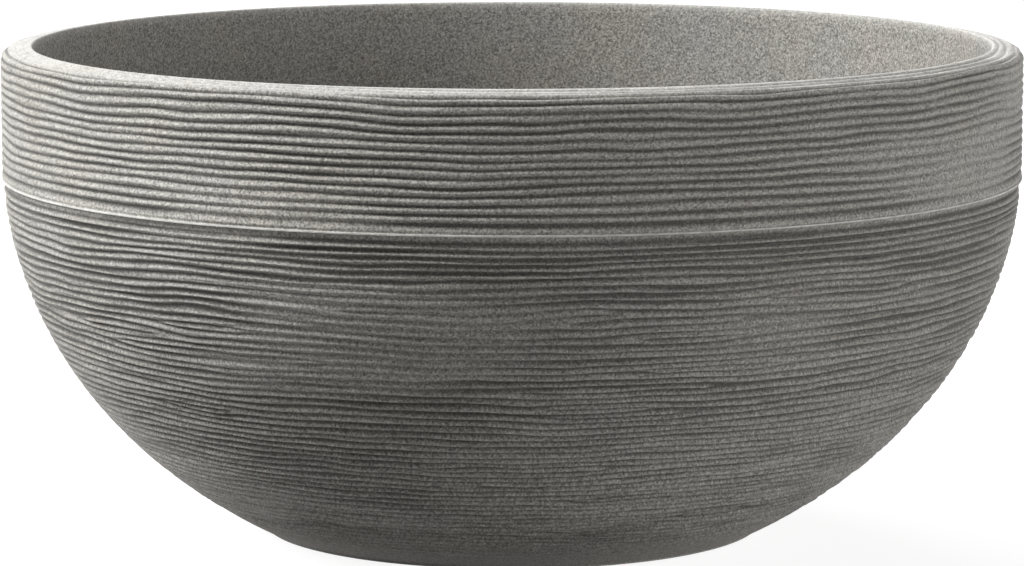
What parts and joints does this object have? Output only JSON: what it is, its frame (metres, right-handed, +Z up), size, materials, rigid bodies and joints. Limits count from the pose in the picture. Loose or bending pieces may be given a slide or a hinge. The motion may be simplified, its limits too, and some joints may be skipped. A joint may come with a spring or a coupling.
{
  "type": "low round planter",
  "caption": "Low round planter bowl: a ridged stone-look outside with a collar at the rim, a smooth inner liner, and a strained drain that a bung closes from below.",
  "frame": {"origin": "centre of the planter on the ground, in the plane of the pads' undersides", "axes": "+Z up along the bowl's axis; the pads lie on the diagonals between +X and +Y"},
  "size_m": [0.48, 0.48, 0.232],
  "materials": {
    "stone_bowl": "ridged, moulded with a stone fleck, matte",
    "stone_collar": "ridged, moulded with a stone fleck, matte",
    "stone_liner": "smooth wall with a fine stone fleck, matte",
    "drain_plastic": "fine moulded grain",
    "drain_rubber": "soft moulded rubber",
    "pad_rubber": "hard moulded rubber"
  },
  "bodies": {
    "planter": {"lower_bowl": "stone_bowl", "upper_collar": "stone_collar", "inner_liner": "stone_liner", "drain_bush": "drain_plastic", "flange_seal": "drain_rubber", "lock_ring": "drain_plastic", "foot_pad_1": "pad_rubber", "foot_pad_2": "pad_rubber", "foot_pad_3": "pad_rubber", "foot_pad_4": "pad_rubber"},
    "strainer": {"drain_strainer": "drain_plastic"},
    "bung": {"drain_plug": "drain_rubber"}
  },
  "joints": [
    {"name": "strainer_lift", "type": "slide", "parent": "planter", "child": "strainer", "axis": [0, 0, 1], "range_m": [0, 0.22]},
    {"name": "bung_pull", "type": "slide", "parent": "planter", "child": "bung", "axis": [0, 0, -1], "range_m": [0, 0.03]}
  ]
}
